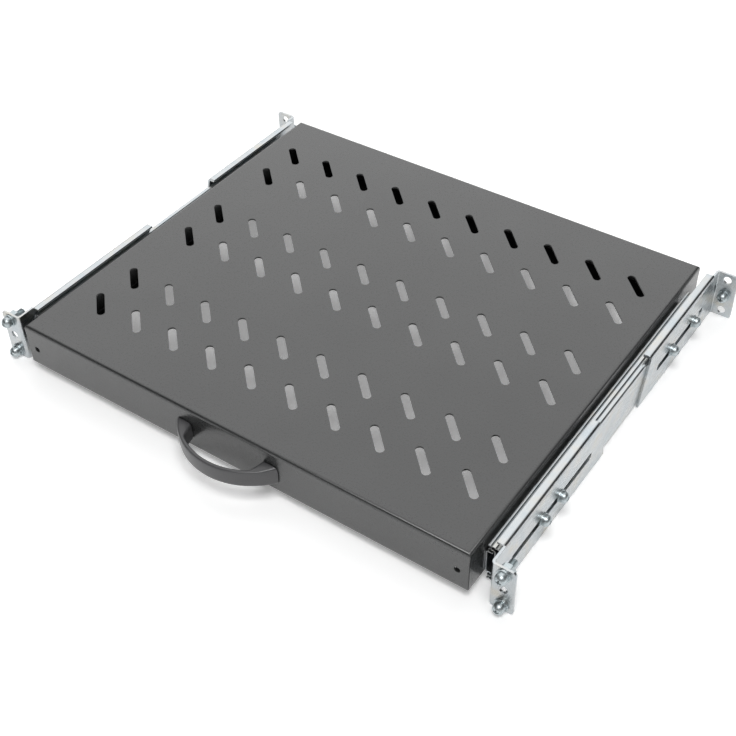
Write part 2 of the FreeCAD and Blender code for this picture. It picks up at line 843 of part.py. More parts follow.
def mounting_hardware(end, heights, head_seat, nut_seat):
    """Screws that face the front, each head drawn with its washer, and nuts behind the ear."""
    screws, nuts = [], []
    x = EAR_HOLE_X
    for z in heights:
        head_base = (x, head_seat - s.mount_head_height, z)
        head = prism("mount_head", HEAD_SIDES, s.mount_head, s.mount_head_height, head_base, "y")
        shank = prism("mount_shank", SHANK_SIDES, s.mount_shank, s.mount_length, (x, head_seat, z), "y")
        screws.append(fused("mount_screw", [head, shank]))
        corners = s.mount_nut_width / math.cos(math.pi / 6)
        block = prism("nut_block", 6, corners, s.mount_nut_height, (x, nut_seat, z), "y")
        bore = s.mount_shank + 2 * s.thread_clearance
        thread = prism("nut_thread", SHANK_SIDES, bore, s.mount_nut_height, (x, nut_seat, z), "y")
        nuts.append(bored("mount_nut", block, thread))
    group(f"mounting_screws_{end}_right", screws)
    group(f"mounting_nuts_{end}_right", nuts)


def mirror_to_left():
    """Make every right-hand piece again on the left."""
    for label in [name for name in nodes if name.endswith("_right")]:
        twin = label.replace("_right", "_left")
        thing = doc.addObject("Part::Mirroring", twin)
        thing.Source = nodes[label]
        thing.Normal = AXES["x"]
        nodes[twin] = thing


def check():
    """Stop if any object of the document failed or any piece is not a sound solid."""
    for thing in doc.Objects:
        if {"Invalid", "Error"} & set(thing.State):
            raise RuntimeError(f"{thing.Label} failed to build")
    for label, thing in nodes.items():
        shape = thing.Shape
        if shape.isNull() or not shape.isValid() or not shape.Solids:
            raise RuntimeError(f"{label} is not a sound solid")
        if min(solid.Volume for solid in shape.Solids) <= 0:
            raise RuntimeError(f"{label} is inside out")


def main():
    shelf_tray()
    front_handle()
    handle_screws()
    inner_slide()
    inner_slide_screws()
    middle_slide()
    ball_bearings()
    outer_slide()
    slide_bumper()
    clamp_screws()
    front, back = as_size(0), REAR_PLANE
    lengths = (s.front_reach, s.front_flange_setback, s.front_slot_setback, s.front_slot_margin)
    bracket("front", front, 1, lengths, EAR_MIDDLE, EAR_ENDS)
    mounting_hardware("front", EAR_ENDS, front - s.bracket_sheet, front)
    lengths = (s.rear_reach, s.rear_flange_setback, s.rear_slot_setback, s.rear_slot_margin)
    bracket("rear", back, -1, lengths, EAR_ENDS, EAR_MIDDLE)
    mounting_hardware("rear", EAR_MIDDLE, back, back + s.bracket_sheet)
    mirror_to_left()
    doc.recompute()
    check()
    os.makedirs("parts", exist_ok=True)
    for label, thing in nodes.items():
        thing.Label = label
        thing.Shape.exportStep(os.path.join("parts", f"{label}.step"))
    print(f"{len(nodes)} pieces written")


main()
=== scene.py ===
# %% [markdown]
# # Sliding rack shelf
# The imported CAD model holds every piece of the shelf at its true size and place, in metres. This lesson
# gives those pieces the look of the real ones: folded sheet with soft bends and punched slots, plated
# brackets and slides, driven screws with washers, steel balls and a moulded handle. Every piece is placed
# from the CAD frame, so nothing is fitted by eye.

# %% Load the frame
import json
import math

import bmesh
import bpy
from mathutils import Matrix, Quaternion, Vector


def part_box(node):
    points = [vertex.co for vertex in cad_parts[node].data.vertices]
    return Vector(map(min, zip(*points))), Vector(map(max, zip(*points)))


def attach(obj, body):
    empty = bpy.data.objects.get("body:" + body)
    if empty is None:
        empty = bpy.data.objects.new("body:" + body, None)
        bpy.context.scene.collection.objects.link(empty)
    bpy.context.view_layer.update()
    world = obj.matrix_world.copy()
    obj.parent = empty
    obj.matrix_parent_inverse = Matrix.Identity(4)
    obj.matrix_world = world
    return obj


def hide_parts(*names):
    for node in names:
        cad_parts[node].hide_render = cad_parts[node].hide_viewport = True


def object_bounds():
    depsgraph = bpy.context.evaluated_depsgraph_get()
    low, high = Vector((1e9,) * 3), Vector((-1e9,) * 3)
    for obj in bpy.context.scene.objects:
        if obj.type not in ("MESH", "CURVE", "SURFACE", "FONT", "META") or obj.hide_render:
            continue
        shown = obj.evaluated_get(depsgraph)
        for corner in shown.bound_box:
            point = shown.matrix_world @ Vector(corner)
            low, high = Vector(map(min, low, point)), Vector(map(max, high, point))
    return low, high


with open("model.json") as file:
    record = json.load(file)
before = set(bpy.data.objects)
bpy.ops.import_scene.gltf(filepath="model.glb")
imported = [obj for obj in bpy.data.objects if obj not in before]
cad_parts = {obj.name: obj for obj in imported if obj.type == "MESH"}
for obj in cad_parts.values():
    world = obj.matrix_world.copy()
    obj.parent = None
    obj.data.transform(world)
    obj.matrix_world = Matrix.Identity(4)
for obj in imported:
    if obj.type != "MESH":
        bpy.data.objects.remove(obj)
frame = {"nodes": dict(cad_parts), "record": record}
cad_low, cad_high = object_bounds()
MM = 0.001
BODY_OF = {node: body for body, nodes in frame["record"]["behaviour"]["bodies"].items() for node in nodes}
print("CAD box in mm:", [round(size / MM, 1) for size in cad_high - cad_low])

# %% [markdown]
# ## Camera
# A product shot is taken from the front right, looking down, so that the top, the front flange and one rail
# show. The camera could be aimed by a constraint; a place and three angles are simpler to read and to
# change. The small roll is the tilt that the photograph has.

# %% Set the camera
CAMERA_PLACE = Vector((0.45407, -0.45263, 0.66204))
CAMERA_AZIMUTH = math.radians(35.96)
CAMERA_ELEVATION = math.radians(42.79)
CAMERA_ROLL = math.radians(-1.62)
CAMERA_LENS = 59.93


def add_object(name, data):
    thing = bpy.data.objects.new(name, data)
    bpy.context.scene.collection.objects.link(thing)
    return thing


def set_camera():
    level = math.cos(CAMERA_ELEVATION)
    across, ahead = -math.sin(CAMERA_AZIMUTH) * level, math.cos(CAMERA_AZIMUTH) * level
    sight = Vector((across, ahead, -math.sin(CAMERA_ELEVATION)))
    camera = add_object("camera", bpy.data.cameras.new("camera"))
    camera.data.lens = CAMERA_LENS
    camera.location = CAMERA_PLACE
    camera.rotation_mode = "QUATERNION"
    camera.rotation_quaternion = sight.to_track_quat("-Z", "Y") @ Quaternion((0, 0, 1), CAMERA_ROLL)
    bpy.context.scene.camera = camera


set_camera()
print("camera set at", tuple(CAMERA_PLACE))

# %% [markdown]
# ## Colours and nodes
# Colours are written as the hex values that a colour picker shows, and Blender wants linear light, so one
# function turns them over. One more function adds a node, sets its values and links its inputs.


# %% Colour and node helpers
def linear(colour):
    """An sRGB hex colour as linear red, green, blue and alpha."""
    parts = [int(colour[index : index + 2], 16) / 255 for index in (1, 3, 5)]
    return (*(part / 12.92 if part <= 0.04045 else ((part + 0.055) / 1.055) ** 2.4 for part in parts), 1.0)


def add_node(tree, kind, inputs, stops=(), **settings):
    """Add a node: inputs are values or linked sockets, and stops are the places and colours of a ramp."""
    node = tree.nodes.new(kind)
    for name, value in settings.items():
        setattr(node, name, value)
    for name, value in inputs.items():
        if isinstance(value, bpy.types.NodeSocket):
            tree.links.new(value, node.inputs[name])
        else:
            node.inputs[name].default_value = value
    for index, (place, colour) in enumerate(stops):
        stop = node.color_ramp.elements[index] if index < 2 else node.color_ramp.elements.new(place)
        stop.position = place
        stop.color = linear(colour)
    return node


def new_finish(name):
    """An empty material that holds only the Object coordinates its patterns read."""
    finish = bpy.data.materials.new(name)
    finish.use_nodes = True
    finish.node_tree.nodes.clear()
    place = add_node(finish.node_tree, "ShaderNodeTexCoord", {})
    return finish, finish.node_tree, place.outputs["Object"]


def put_out(tree, shader):
    add_node(tree, "ShaderNodeOutputMaterial", {"Surface": shader.outputs["BSDF"]})


def per_metre(millimetres):
    """How many pattern cells of this size fit in a metre."""
    return 1 / (millimetres * MM)


print("mid grey in linear light:", round(linear("#808080")[0], 3))

# %% [markdown]
# ## Floor and light
# The shelf lies on a lit white table under one large soft box, the usual set for a catalogue picture. The
# box hangs behind the shelf, to the left, where flat sheet that faces up mirrors it. The room round it is
# dark. A bend turns from the box to the dark room and on to the white table, which draws a thin dark line
# along it. A second lamp hangs high above, a little to the camera's side. It whitens the table close to the
# shelf, which keeps the shadows narrow, and puts small bright spots on the round screw heads. No bend can
# mirror it, because it hangs on the side that all the bends turn away from. The table is far wider than the
# shelf, glows more strongly away from it and sweeps up at its edges, so low views keep an even, pale
# background.

# %% Build the set
FLOOR_REACH = 12.0
SWEEP_HEIGHT = 1.4
SWEEP_RADIUS = 1.0
SWEEP_STEPS = 32
FLOOR_COLOUR = "#fcfcfc"
FLOOR_GLOW = 0.28
BACKDROP_GLOW = 0.8
GLOW_NEAR = 1.0
GLOW_FAR = 3.0
BOX_WAY = Vector((-0.43, 0.59, 0.68)).normalized()
BOX_STOPS = ((0.72, "#0f1010"), (0.92, "#ffffff"))
BOX_STRENGTH = 1.6
FILL_PLACE = Vector((0.7, -0.7, 3.0))
FILL_SIZE = 1.6
FILL_WATTS = 67


def floor_finish():
    """Opal acrylic lit from below: a matt white sheet whose own glow is stronger far from the shelf."""
    finish, tree, place = new_finish("white_acrylic_table")
    away = add_node(tree, "ShaderNodeVectorMath", {0: place}, operation="LENGTH")
    glow = add_node(
        tree,
        "ShaderNodeMapRange",
        {
            "Value": away.outputs["Value"],
            "From Min": GLOW_NEAR,
            "From Max": GLOW_FAR,
            "To Min": FLOOR_GLOW,
            "To Max": BACKDROP_GLOW,
        },
    )
    shader = add_node(
        tree,
        "ShaderNodeBsdfPrincipled",
        {
            "Base Color": linear(FLOOR_COLOUR),
            "Roughness": 0.6,
            "Emission Color": (1, 1, 1, 1),
            "Emission Strength": glow.outputs["Result"],
        },
    )
    put_out(tree, shader)
    return finish


def build_floor():
    shape = bmesh.new()
    level = Matrix.Translation((0, 0, cad_low.z))
    bmesh.ops.create_grid(shape, x_segments=1, y_segments=1, size=FLOOR_REACH, matrix=level)
    crease = list(shape.edges)
    raised = bmesh.ops.extrude_edge_only(shape, edges=crease)["geom"]
    rim = [item for item in raised if isinstance(item, bmesh.types.BMVert)]
    bmesh.ops.translate(shape, verts=rim, vec=(0, 0, SWEEP_HEIGHT))
    bmesh.ops.bevel(
        shape,
        geom=crease,
        offset=SWEEP_RADIUS,
        segments=SWEEP_STEPS,
        profile=0.5,
        affect="EDGES",
        material=-1,
    )
    mesh = bpy.data.meshes.new("studio_floor")
    shape.to_mesh(mesh)
    shape.free()
    mesh.materials.append(floor_finish())
    add_object("studio_floor", mesh)


def light_room():
    """A world that is bright round the direction of the soft box and dark elsewhere."""
    world = bpy.data.worlds.new("soft_box")
    world.use_nodes = True
    tree = world.node_tree
    tree.nodes.clear()
    place = add_node(tree, "ShaderNodeTexCoord", {})
    nearness = add_node(
        tree, "ShaderNodeVectorMath", {0: place.outputs["Generated"], 1: BOX_WAY}, operation="DOT_PRODUCT"
    )
    colour = add_node(tree, "ShaderNodeValToRGB", {"Fac": nearness.outputs["Value"]}, stops=BOX_STOPS)
    glow = add_node(
        tree, "ShaderNodeBackground", {"Color": colour.outputs["Color"], "Strength": BOX_STRENGTH}
    )
    add_node(tree, "ShaderNodeOutputWorld", {"Surface": glow.outputs["Background"]})
    bpy.context.scene.world = world
    bpy.context.scene.view_settings.view_transform = "Standard"


def hang_fill():
    """A square soft lamp that looks at the shelf."""
    lamp = bpy.data.lights.new("fill_lamp", "AREA")
    lamp.size = FILL_SIZE
    lamp.energy = FILL_WATTS
    hung = add_object("fill_lamp", lamp)
    hung.location = FILL_PLACE
    hung.rotation_euler = (-FILL_PLACE).to_track_quat("-Z", "Y").to_euler()


build_floor()
light_room()
hang_fill()
print("floor at", round(cad_low.z / MM, 2), "mm")

# %% [markdown]
# ## Powder-coated steel
# The tray is sprayed with dry paint powder and baked, which leaves a satin skin with a very fine orange
# peel. It could be a flat grey; the faint grain in the bump and in the roughness is what makes it read as
# paint on steel. The real grain, some tenths of a millimetre, is too fine to show here, so it is drawn as
# coarse as it needs to show.


# %% Powder coat
def powder_coat():
    """Dark satin grey: the resin over the pigment gives a clear sheen, broken up by a fine dry grain."""
    finish, tree, place = new_finish("powder_coated_steel")
    grain_size, cloud_size = 0.9, 60
    grain = add_node(
        tree, "ShaderNodeTexNoise", {"Vector": place, "Scale": per_metre(grain_size), "Detail": 3.0}
    )
    clouds = add_node(
        tree, "ShaderNodeTexNoise", {"Vector": place, "Scale": per_metre(cloud_size), "Detail": 2.0}
    )
    stops = ((0.3, "#343535"), (0.7, "#393a3a"))
    colour = add_node(tree, "ShaderNodeValToRGB", {"Fac": clouds.outputs["Fac"]}, stops=stops)
    gloss = add_node(
        tree, "ShaderNodeMapRange", {"Value": grain.outputs["Fac"], "To Min": 0.25, "To Max": 0.31}
    )
    peel = add_node(
        tree, "ShaderNodeBump", {"Height": grain.outputs["Fac"], "Strength": 0.1, "Distance": 0.03 * MM}
    )
    shader = add_node(
        tree,
        "ShaderNodeBsdfPrincipled",
        {
            "Base Color": colour.outputs["Color"],
            "Roughness": gloss.outputs["Result"],
            "IOR": 1.5,
            "Specular IOR Level": 0.6,
            "Coat Weight": 0.3,
            "Coat Roughness": 0.2,
            "Normal": peel.outputs["Normal"],
        },
    )
    put_out(tree, shader)
    return finish


POWDER_COAT = powder_coat()
print("made", POWDER_COAT.name)

# %% [markdown]
# ## Bright zinc plate
# Slides and brackets are bent from rolled strip and then plated with zinc, which has a cool, faintly blue
# shine. The rolling leaves fine lines along the strip, so the pattern is stretched along Y, the way the
# strip runs. Real rolling lines are finer than a tenth of a millimetre and too fine to show, so these are
# drawn wider.


# %% Zinc plate
def zinc_plate():
    """Cool bright metal with soft streaks along the strip and a trace of blue and straw in the plating."""
    finish, tree, place = new_finish("bright_zinc_plate")
    streak_width, streak_length, bloom_size = 1.2, 45, 14
    scale = (per_metre(streak_width), per_metre(streak_length), per_metre(streak_width))
    along = add_node(tree, "ShaderNodeMapping", {"Vector": place, "Scale": scale})
    streaks = add_node(
        tree, "ShaderNodeTexNoise", {"Vector": along.outputs["Vector"], "Scale": 1.0, "Detail": 3.0}
    )
    bloom = add_node(
        tree, "ShaderNodeTexNoise", {"Vector": place, "Scale": per_metre(bloom_size), "Detail": 2.0}
    )
    stops = ((0.3, "#b1b8bc"), (0.55, "#bbbebf"), (0.75, "#bebcb5"))
    colour = add_node(tree, "ShaderNodeValToRGB", {"Fac": bloom.outputs["Fac"]}, stops=stops)
    gloss = add_node(
        tree, "ShaderNodeMapRange", {"Value": streaks.outputs["Fac"], "To Min": 0.2, "To Max": 0.38}
    )
    lines = add_node(
        tree, "ShaderNodeBump", {"Height": streaks.outputs["Fac"], "Strength": 0.12, "Distance": 0.02 * MM}
    )
    shader = add_node(
        tree,
        "ShaderNodeBsdfPrincipled",
        {
            "Base Color": colour.outputs["Color"],
            "Metallic": 1.0,
            "Roughness": gloss.outputs["Result"],
            "Normal": lines.outputs["Normal"],
        },
    )
    put_out(tree, shader)
    return finish


ZINC_PLATE = zinc_plate()
print("made", ZINC_PLATE.name)

# %% [markdown]
# ## Plated fasteners and bearing balls
# Screws, washers and nuts are tumbled in a barrel while they are plated, so they are duller, with small
# dents. The real dents are too fine to show, so they are drawn larger. The balls are ground and polished
# and mirror everything round them.


# %% Fastener and ball finishes
def plated_fastener():
    """Barrel-plated steel: duller and a little bluer than the strip, mottled by the tumbling."""
    finish, tree, place = new_finish("barrel_plated_steel")
    dent_size = 1.4
    dents = add_node(
        tree, "ShaderNodeTexNoise", {"Vector": place, "Scale": per_metre(dent_size), "Detail": 3.0}
    )
    stops = ((0.3, "#a9b4b7"), (0.7, "#c6ccce"))
    colour = add_node(tree, "ShaderNodeValToRGB", {"Fac": dents.outputs["Fac"]}, stops=stops)
    gloss = add_node(
        tree, "ShaderNodeMapRange", {"Value": dents.outputs["Fac"], "To Min": 0.36, "To Max": 0.5}
    )
    relief = add_node(
        tree, "ShaderNodeBump", {"Height": dents.outputs["Fac"], "Strength": 0.2, "Distance": 0.05 * MM}
    )
    shader = add_node(
        tree,
        "ShaderNodeBsdfPrincipled",
        {
            "Base Color": colour.outputs["Color"],
            "Metallic": 1.0,
            "Roughness": gloss.outputs["Result"],
            "Normal": relief.outputs["Normal"],
        },
    )
    put_out(tree, shader)
    return finish


def bearing_steel():
    """Ground and polished chrome steel, wet with a thin smear of grease."""
    finish, tree, place = new_finish("polished_bearing_steel")
    smear_size = 1.0
    smear = add_node(
        tree, "ShaderNodeTexNoise", {"Vector": place, "Scale": per_metre(smear_size), "Detail": 2.0}
    )
    gloss = add_node(
        tree, "ShaderNodeMapRange", {"Value": smear.outputs["Fac"], "To Min": 0.04, "To Max": 0.16}
    )
    shader = add_node(
        tree,
        "ShaderNodeBsdfPrincipled",
        {"Base Color": linear("#c4c6c8"), "Metallic": 1.0, "Roughness": gloss.outputs["Result"]},
    )
    put_out(tree, shader)
    return finish


FASTENER_STEEL = plated_fastener()
BEARING_STEEL = bearing_steel()
print("made", FASTENER_STEEL.name, "and", BEARING_STEEL.name)

# %% [markdown]
# ## Moulded black plastic
# The handle and the buffers are injection moulded. The mould is spark-eroded, which leaves a fine matt
# grain. That grain is about a tenth of a millimetre, too fine to show, so it is drawn as coarse as it needs
# to show.


# %% Moulded plastic
def moulded_plastic():
    """Black ABS with a fine even grain; its dark grey base colour is painted sheen, as the real plastic is
    black.
    """
    finish, tree, place = new_finish("moulded_abs")
    grain_size = 0.7
    grain = add_node(
        tree, "ShaderNodeTexNoise", {"Vector": place, "Scale": per_metre(grain_size), "Detail": 2.0}
    )
    # Painted sheen: these dark grey stops stand in for the soft sheen of black plastic.
    stops = ((0.3, "#444446"), (0.7, "#4c4c4d"))
    colour = add_node(tree, "ShaderNodeValToRGB", {"Fac": grain.outputs["Fac"]}, stops=stops)
    gloss = add_node(
        tree, "ShaderNodeMapRange", {"Value": grain.outputs["Fac"], "To Min": 0.28, "To Max": 0.4}
    )
    relief = add_node(
        tree, "ShaderNodeBump", {"Height": grain.outputs["Fac"], "Strength": 0.2, "Distance": 0.03 * MM}
    )
    shader = add_node(
        tree,
        "ShaderNodeBsdfPrincipled",
        {
            "Base Color": colour.outputs["Color"],
            "Roughness": gloss.outputs["Result"],
            "IOR": 1.53,
            "Normal": relief.outputs["Normal"],
        },
    )
    put_out(tree, shader)
    return finish


BLACK_PLASTIC = moulded_plastic()
print("made", BLACK_PLASTIC.name)

# %% [markdown]
# ## From a mesh to a piece
# A piece is a mesh object that rides a CAD body and stands for a CAD node. Its faces are shaded smooth,
# apart from edges that turn by more than a set angle, and the larger faces lead the normals, so that flat
# sheet stays flat beside a bend.

# %% Piece helpers
SMOOTH_ANGLE = math.radians(32)
FLAT_ANGLE = math.radians(1)
WELD_GAP = 0.001 * MM


def piece(name, shape, node, finish):
    """Make an object of a bmesh: it rides the body of a CAD node and stands for that node."""
    mesh = bpy.data.meshes.new(name)
    shape.to_mesh(mesh)
    shape.free()
    mesh.materials.append(finish)
    mesh.shade_smooth()
    mesh.set_sharp_from_angle(angle=SMOOTH_ANGLE)
    thing = add_object(name, mesh)
    thing.modifiers.new("flat_faces_lead", "WEIGHTED_NORMAL").keep_sharp = True
    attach(thing, BODY_OF[node])
    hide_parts(node)
    print(name, "has", len(mesh.polygons), "faces and stands for", node)


def merged(node):
    """A bmesh copy of a CAD node, its loose triangles welded and flat ones joined."""
    shape = bmesh.new()
    shape.from_mesh(frame["nodes"][node].data)
    bmesh.ops.remove_doubles(shape, verts=shape.verts, dist=WELD_GAP)
    bmesh.ops.dissolve_limit(shape, angle_limit=FLAT_ANGLE, verts=shape.verts, edges=shape.edges)
    return shape


def applied(shape, kind, **settings):
    """What one modifier makes of a bmesh."""
    mesh = bpy.data.meshes.new("blank")
    shape.to_mesh(mesh)
    shape.free()
    blank = add_object("blank", mesh)
    change = blank.modifiers.new("change", kind)
    for name, value in settings.items():
        setattr(change, name, value)
    made = bmesh.new()
    made.from_object(blank, bpy.context.evaluated_depsgraph_get())
    bpy.data.meshes.remove(mesh)
    return made


def carved(shape, knife, crossed=False):
    """What is left of one bmesh when another is cut out of it; a crossed knife overlaps itself."""
    mesh = bpy.data.meshes.new("knife")
    knife.to_mesh(mesh)
    knife.free()
    left = applied(shape, "BOOLEAN", object=add_object("knife", mesh), solver="EXACT", use_self=crossed)
    bpy.data.meshes.remove(mesh)
    return left


def stamp(shape, mesh, matrix):
    """Add a copy of a mesh to a bmesh at a place."""
    before = len(shape.verts)
    shape.from_mesh(mesh)
    shape.verts.ensure_lookup_table()
    bmesh.ops.transform(shape, matrix=matrix, verts=shape.verts[before:])


def rounded_rim(shape, edges, offset, segments):
    bmesh.ops.bevel(
        shape,
        geom=edges,
        offset=offset,
        offset_type="OFFSET",
        segments=segments,
        profile=0.5,
        affect="EDGES",
        material=-1,
    )


print("smooth up to", round(math.degrees(SMOOTH_ANGLE)), "degrees")

# %% [markdown]
# ## Folded tray
# The tray is one sheet of steel: its four edges are folded down, and folded in once more below to stiffen
# them. A flat sheet with a Solidify modifier could be folded too, but its bends would have to be worked out
# by hand. Here an outer and an inner box get round level edges, each loses the middle of its bottom, and
# their mouths are joined.

# %% Tray shell
TRAY_SHEET = 1.5 * MM
TRAY_BEND = 3.2 * MM
BEND_STEPS = 6
SIDE_RETURN = 18 * MM
FRONT_RETURN = 12 * MM
BACK_RETURN = 30 * MM
tray_low, tray_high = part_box("shelf_tray")


def box_between(low, high):
    """The matrix that turns a unit cube into the box between two corners."""
    return Matrix.Translation((low + high) / 2) @ Matrix.Diagonal((*(high - low), 1))


def cut_mouth(shape, level):
    """Take the part of a flat bottom away that lies between the returns."""
    left, right = tray_low.x + SIDE_RETURN, tray_high.x - SIDE_RETURN
    front, back = tray_low.y + FRONT_RETURN, tray_high.y - BACK_RETURN
    across, along = (1, 0, 0), (0, 1, 0)
    near, far = (left, front, 0), (right, back, 0)
    for spot, way in ((near, across), (far, across), (near, along), (far, along)):
        flat = [face for face in shape.faces if face.calc_center_median().z < level + WELD_GAP]
        edges = {edge for face in flat for edge in face.edges}
        verts = {vert for face in flat for vert in face.verts}
        geometry = [*flat, *edges, *verts]
        bmesh.ops.bisect_plane(shape, geom=geometry, dist=WELD_GAP, plane_co=spot, plane_no=way)
    centre = Vector(((left + right) / 2, (front + back) / 2, level))
    middle = min(shape.faces, key=lambda face: (face.calc_center_median() - centre).length)
    bmesh.ops.delete(shape, geom=[middle], context="FACES_ONLY")


def add_folded_box(tray, low, high, bend):
    """A box with round level edges, open below between the returns."""
    shape = bmesh.new()
    bmesh.ops.create_cube(shape, size=1, matrix=box_between(low, high))
    level = [edge for edge in shape.edges if abs(edge.verts[0].co.z - edge.verts[1].co.z) < WELD_GAP]
    rounded_rim(shape, level, bend, BEND_STEPS)
    for vert in shape.verts:
        vert.co.z = min(max(vert.co.z, low.z), high.z)
    cut_mouth(shape, low.z)
    mesh = bpy.data.meshes.new("folded_box")
    shape.to_mesh(mesh)
    shape.free()
    tray.from_mesh(mesh)


def tray_shell():
    """Outside and inside of the sheet, joined at the edges of the returns."""
    tray = bmesh.new()
    sheet = Vector((TRAY_SHEET, TRAY_SHEET, TRAY_SHEET))
    add_folded_box(tray, tray_low, tray_high, TRAY_BEND)
    add_folded_box(tray, tray_low + sheet, tray_high - sheet, TRAY_BEND - TRAY_SHEET)
    bmesh.ops.bridge_loops(tray, edges=[edge for edge in tray.edges if edge.is_boundary])
    bmesh.ops.recalc_face_normals(tray, faces=tray.faces)
    return tray


folded_sheet = tray_shell()
print("the folded sheet has", len(folded_sheet.faces), "faces")

# %% [markdown]
# ## Slots, holes and seams
# Slanting slots let warm air through the top, two small holes stand at the ends of the front flange, and
# the flanges meet at the corners in a thin seam. The slots could be drawn as faces; cutting them with a
# knife mesh is how a punch does it. One slot is stamped sixty times to make that knife, which cuts the rest
# as well.

# %% Punch the tray
SEAM_WIDTH = 0.4 * MM
SEAM_DEPTH = 6 * MM
VENT_LENGTH = 28.4 * MM
VENT_WIDTH = 6.8 * MM
VENT_ANGLE = math.radians(135)
VENT_COLUMNS = 10
VENT_SIDE_MARGIN = 32.9 * MM
VENT_PAIRS = 3
VENT_ROW_GAP = 40 * MM
VENT_END_MARGIN = 54 * MM
VENT_END_STEPS = 24
FRONT_HOLE = 5.2 * MM
FRONT_HOLE_INSET = 9.5 * MM
FRONT_HOLE_DROP = 21.5 * MM
PUNCH_DEPTH = 4 * TRAY_SHEET


def vent_mesh():
    """A round bar pulled apart into a slot punch, long along X before it is turned."""
    punch = bmesh.new()
    half_step = Matrix.Rotation(math.pi / VENT_END_STEPS, 4, "Z")
    bmesh.ops.create_cone(
        punch,
        cap_ends=True,
        segments=VENT_END_STEPS,
        radius1=VENT_WIDTH / 2,
        radius2=VENT_WIDTH / 2,
        depth=PUNCH_DEPTH,
        matrix=half_step,
    )
    reach = (VENT_LENGTH - VENT_WIDTH) / 2
    for sense in (-1, 1):
        end = [vert for vert in punch.verts if vert.co.x * sense > 0]
        bmesh.ops.translate(punch, vec=(sense * reach, 0, 0), verts=end)
    mesh = bpy.data.meshes.new("vent_punch")
    punch.to_mesh(mesh)
    punch.free()
    return mesh


def vent_places():
    width, depth = tray_high.x - tray_low.x, tray_high.y - tray_low.y
    pitch = (width - 2 * VENT_SIDE_MARGIN) / (VENT_COLUMNS - 1)
    pair_pitch = (depth - 2 * VENT_END_MARGIN - VENT_ROW_GAP) / (VENT_PAIRS - 1)
    for column in range(VENT_COLUMNS):
        for pair in range(VENT_PAIRS):
            for row in (0, 1):
                x = tray_low.x + VENT_SIDE_MARGIN + column * pitch
                y = tray_low.y + VENT_END_MARGIN + pair * pair_pitch + row * VENT_ROW_GAP
                yield Vector((x, y, tray_high.z))


def tray_knife():
    """All the slots of the top, the two small holes of the front flange and the corner seams."""
    knife = bmesh.new()
    mesh = vent_mesh()
    for place in vent_places():
        stamp(knife, mesh, Matrix.Translation(place) @ Matrix.Rotation(VENT_ANGLE, 4, "Z"))
    for x in (tray_low.x + FRONT_HOLE_INSET, tray_high.x - FRONT_HOLE_INSET):
        place = Vector((x, tray_low.y, tray_high.z - FRONT_HOLE_DROP))
        bmesh.ops.create_cone(
            knife,
            cap_ends=True,
            segments=VENT_END_STEPS,
            radius1=FRONT_HOLE / 2,
            radius2=FRONT_HOLE / 2,
            depth=PUNCH_DEPTH,
            matrix=Matrix.Translation(place) @ Matrix.Rotation(math.pi / 2, 4, "X"),
        )
    add_seams(knife)
    return knife


def add_seams(knife):
    """A thin upright plate across each corner, from below the tray to the bends of its top."""
    top = tray_high.z - 2 * TRAY_BEND
    size = Matrix.Diagonal((SEAM_DEPTH, SEAM_WIDTH, 2 * (top - tray_low.z), 1))
    for x, x_sense in ((tray_low.x, -1), (tray_high.x, 1)):
        for y, y_sense in ((tray_low.y, -1), (tray_high.y, 1)):
            turn = Matrix.Rotation(x_sense * y_sense * math.pi / 4, 4, "Z")
            place = Matrix.Translation((x, y, tray_low.z))
            bmesh.ops.create_cube(knife, size=1, matrix=place @ turn @ size)


punched_sheet = carved(folded_sheet, tray_knife())
piece("folded_tray", punched_sheet, "shelf_tray", POWDER_COAT)

# %% [markdown]
# ## Bent sheet and rolled strip
# Brackets, slide members and cages already have their true sections in the CAD frame. What they lack is the
# broken edge that a punch and a deburring drum leave, which catches the light as a thin line. They could be
# drawn again from their profiles; a welded copy of each node with bevelled edges keeps the frame's sizes.

# %% Slides, brackets, cages and buffers
STRIP_EDGE = 0.2 * MM
CAGE_EDGE = 0.1 * MM
BUFFER_EDGE = 0.6 * MM
EDGE_STEPS = 2
SHARP_ANGLE = math.radians(35)


def broken_edges(node, offset):
    """A welded copy of a node whose sharp outward edges are bevelled."""
    shape = merged(node)
    sharp = [edge for edge in shape.edges if edge.is_convex and edge.calc_face_angle() > SHARP_ANGLE]
    rounded_rim(shape, sharp, offset, EDGE_STEPS)
    return shape


for side in ("right", "left"):
    for node in ("outer_slide", "middle_slide", "inner_slide", "front_bracket", "rear_bracket"):
        shape = broken_edges(f"{node}_{side}", STRIP_EDGE)
        piece(f"{node}_{side}_strip", shape, f"{node}_{side}", ZINC_PLATE)
    for node in ("outer_ball_cage", "inner_ball_cage"):
        shape = broken_edges(f"{node}_{side}", CAGE_EDGE)
        piece(f"{node}_{side}_strip", shape, f"{node}_{side}", ZINC_PLATE)
    shape = broken_edges(f"slide_bumper_{side}", BUFFER_EDGE)
    piece(f"slide_buffer_{side}", shape, f"slide_bumper_{side}", BLACK_PLASTIC)

# %% [markdown]
# ## Balls
# Each slide runs on rows of steel balls. The CAD balls have few faces, so finer ones take their places. A
# flood through linked vertices finds each separate solid of a node and its box, which the screws use too.

# %% Balls
BALL_STEPS = 24


def solid_boxes(node):
    """Lowest and highest corner of each separate solid in a CAD node, in a fixed order."""
    shape = merged(node)
    waiting = set(shape.verts)
    boxes = []
    while waiting:
        island = [waiting.pop()]
        for vert in island:
            for edge in vert.link_edges:
                other = edge.other_vert(vert)
                if other in waiting:
                    waiting.remove(other)
                    island.append(other)
        low = Vector([min(vert.co[axis] for vert in island) for axis in range(3)])
        high = Vector([max(vert.co[axis] for vert in island) for axis in range(3)])
        boxes.append((low, high))
    shape.free()
    return sorted(boxes, key=lambda box: [round(part, 5) for part in box[0]])


